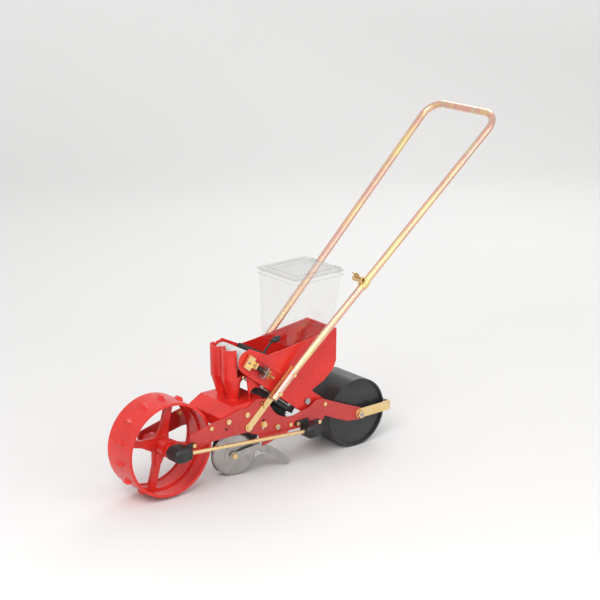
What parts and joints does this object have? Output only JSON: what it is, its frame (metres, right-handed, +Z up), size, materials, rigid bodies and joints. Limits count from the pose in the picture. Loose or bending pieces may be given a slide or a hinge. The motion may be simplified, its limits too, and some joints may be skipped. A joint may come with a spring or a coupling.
{
  "type": "push seeder",
  "caption": "Walk-behind belt seeder: lugged front wheel drives a seed belt through a side shaft; clear hopper, disc opener, coverers, press roller and folding-angle U handle.",
  "frame": {"origin": "on the ground, under the centre of the whole machine's bounding box", "axes": "+X toward the rear where the operator walks, +Y to the machine's right, +Z up; it is pushed toward -X"},
  "size_m": [1.1444, 0.2764, 0.8465],
  "materials": {
    "red_paint": "gloss paint on steel plate",
    "red_plastic": "moulded, satin gloss",
    "clear_plastic": "clear moulded plastic",
    "black_plastic": "moulded, fine grain",
    "black_steel": "black oxide and paint",
    "steel": "plain ground steel",
    "yellow_zinc": "yellow chromate zinc plate",
    "zinc": "bright zinc plate",
    "brass": "drawn, slightly dull",
    "belt_rubber": "pale grey moulded belt",
    "brush_nylon": "dense bristle"
  },
  "bodies": {
    "frame": {"side_plate_left": "red_paint", "side_plate_right": "red_paint", "axle_bush": "black_plastic", "front_gear_case": "black_plastic", "front_case_cover": "black_plastic", "rear_gear_case": "black_plastic", "rear_case_cover": "black_plastic", "hopper_body": "red_plastic", "seed_belt": "belt_rubber", "tension_tab": "steel", "belt_guard": "steel", "drive_guard": "black_plastic", "hopper": "clear_plastic", "lid_hinge": "clear_plastic", "chute_base": "red_plastic", "seed_chutes": "red_plastic", "frame_bolts": "yellow_zinc", "frame_nuts": "yellow_zinc", "tie_rod": "steel", "roller_axle": "steel", "scraper_strips": "yellow_zinc", "scraper_blade": "zinc"},
    "wheel_set": {"wheel": "red_plastic", "wheel_axle": "steel", "axle_bevel": "steel"},
    "shaft_set": {"drive_shaft": "yellow_zinc", "shaft_bevel_front": "steel", "shaft_bevel_rear": "steel"},
    "cross_set": {"cross_shaft": "steel", "cross_bevel": "steel", "cross_spur": "black_plastic"},
    "belt_drive_set": {"belt_drive_shaft": "steel", "belt_drive_pulley": "black_plastic", "belt_drive_spur": "black_plastic"},
    "tension_set": {"belt_idler_shaft": "steel", "tension_fork": "yellow_zinc", "tension_rod": "brass", "tension_spring": "black_steel"},
    "idler_set": {"belt_idler_pulley": "black_plastic"},
    "nut_set": {"tension_lock_nut": "black_steel", "tension_wing_nut": "brass"},
    "brush_set": {"brush_holder": "black_plastic", "seed_brush": "brush_nylon", "brush_lever": "black_steel", "brush_knob": "black_plastic"},
    "lid_set": {"hopper_lid": "clear_plastic"},
    "opener_set": {"opener_bar": "black_steel", "opener_bolts": "yellow_zinc", "opener_shank": "black_steel", "seed_boot": "black_steel"},
    "disc_left_set": {"disc_left": "steel"},
    "disc_right_set": {"disc_right": "steel"},
    "coverer_left_set": {"coverer_left": "steel"},
    "coverer_right_set": {"coverer_right": "steel"},
    "roller_set": {"roller": "black_plastic"},
    "handle_set": {"handle_tube": "yellow_zinc", "handle_straps": "yellow_zinc", "handle_bolts": "yellow_zinc", "marker_clamp": "yellow_zinc", "marker_screw": "brass"}
  },
  "joints": [
    {"name": "wheel_spin", "type": "hinge", "parent": "frame", "child": "wheel_set", "pos_m": [-0.44539, 0, 0.128], "axis": [0, 1, 0], "continuous": true},
    {"name": "shaft_spin", "type": "hinge", "parent": "frame", "child": "shaft_set", "pos_m": [-0.44539, -0.088, 0.128], "axis": [0.9962, 0, -0.0867], "continuous": true},
    {"name": "cross_spin", "type": "hinge", "parent": "frame", "child": "cross_set", "pos_m": [-0.03739, 0, 0.0925], "axis": [0, 1, 0], "continuous": true},
    {"name": "belt_drive_spin", "type": "hinge", "parent": "frame", "child": "belt_drive_set", "pos_m": [-0.03329, 0, 0.16238], "axis": [0, 1, 0], "continuous": true},
    {"name": "belt_tension", "type": "slide", "parent": "frame", "child": "tension_set", "axis": [0.7848, 0, -0.6198], "range_m": [0, 0.004]},
    {"name": "idler_spin", "type": "hinge", "parent": "tension_set", "child": "idler_set", "pos_m": [-0.21536, 0, 0.30617], "axis": [0, 1, 0], "continuous": true},
    {"name": "tension_nut_turn", "type": "hinge", "parent": "frame", "child": "nut_set", "pos_m": [-0.21536, -0.077, 0.30617], "axis": [0.7848, 0, -0.6198], "range_deg": [0, 1440]},
    {"name": "brush_height", "type": "slide", "parent": "frame", "child": "brush_set", "axis": [0.6198, 0, 0.7848], "range_m": [0, 0.006]},
    {"name": "lid_open", "type": "hinge", "parent": "frame", "child": "lid_set", "pos_m": [0.0811, 0, 0.4945], "axis": [0, 1, 0], "range_deg": [0, 110]},
    {"name": "opener_depth", "type": "slide", "parent": "frame", "child": "opener_set", "axis": [0, 0, 1], "range_m": [-0.009, 0.009]},
    {"name": "disc_left_spin", "type": "hinge", "parent": "opener_set", "child": "disc_left_set", "pos_m": [-0.24039, -0.0225, 0.057], "axis": [-0.342, -0.9397, 0], "continuous": true},
    {"name": "disc_right_spin", "type": "hinge", "parent": "opener_set", "child": "disc_right_set", "pos_m": [-0.24039, 0.0225, 0.057], "axis": [-0.342, 0.9397, 0], "continuous": true},
    {"name": "coverer_left_lift", "type": "hinge", "parent": "opener_set", "child": "coverer_left_set", "pos_m": [-0.24039, -0.0225, 0.057], "axis": [-0.342, -0.9397, 0], "range_deg": [0, 25]},
    {"name": "coverer_right_lift", "type": "hinge", "parent": "opener_set", "child": "coverer_right_set", "pos_m": [-0.24039, 0.0225, 0.057], "axis": [0.342, -0.9397, 0], "range_deg": [0, 25]},
    {"name": "roller_spin", "type": "hinge", "parent": "frame", "child": "roller_set", "pos_m": [0.13261, 0, 0.092], "axis": [0, 1, 0], "continuous": true},
    {"name": "handle_tilt", "type": "hinge", "parent": "frame", "child": "handle_set", "pos_m": [-0.2274, 0, 0.142], "axis": [0, 1, 0], "range_deg": [-4, 8]}
  ],
  "couplings": [
    {"joint": "shaft_spin", "follows": "wheel_spin", "ratio": -1},
    {"joint": "cross_spin", "follows": "wheel_spin", "ratio": -1},
    {"joint": "belt_drive_spin", "follows": "wheel_spin", "ratio": 0.75},
    {"joint": "idler_spin", "follows": "wheel_spin", "ratio": 0.75},
    {"joint": "tension_nut_turn", "follows": "belt_tension", "rad_per_m": 6283.2}
  ]
}
